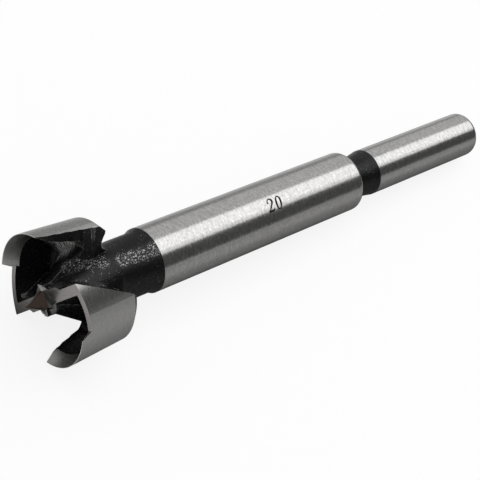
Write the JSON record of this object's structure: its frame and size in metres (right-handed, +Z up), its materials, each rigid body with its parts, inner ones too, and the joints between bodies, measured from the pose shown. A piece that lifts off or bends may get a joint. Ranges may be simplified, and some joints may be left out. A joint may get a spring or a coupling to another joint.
{
  "type": "forstner bit",
  "caption": "Forstner bit that bores clean flat-bottomed holes in wood: rim knives, chipper edges and a centre spur on a round shank.",
  "frame": {"origin": "on the floor, below the middle of the bit as it lies on its side", "axes": "+X along the bit towards the cutting head, +Z up from the floor it lies on, +Y to its left"},
  "size_m": [0.0962, 0.02, 0.0186],
  "materials": {
    "ground_steel": "fine ground steel, with black oxide on the neck, the groove, the pockets and the throats"
  },
  "bodies": {
    "root": {"forstner_bit": "ground_steel"}
  },
  "joints": []
}
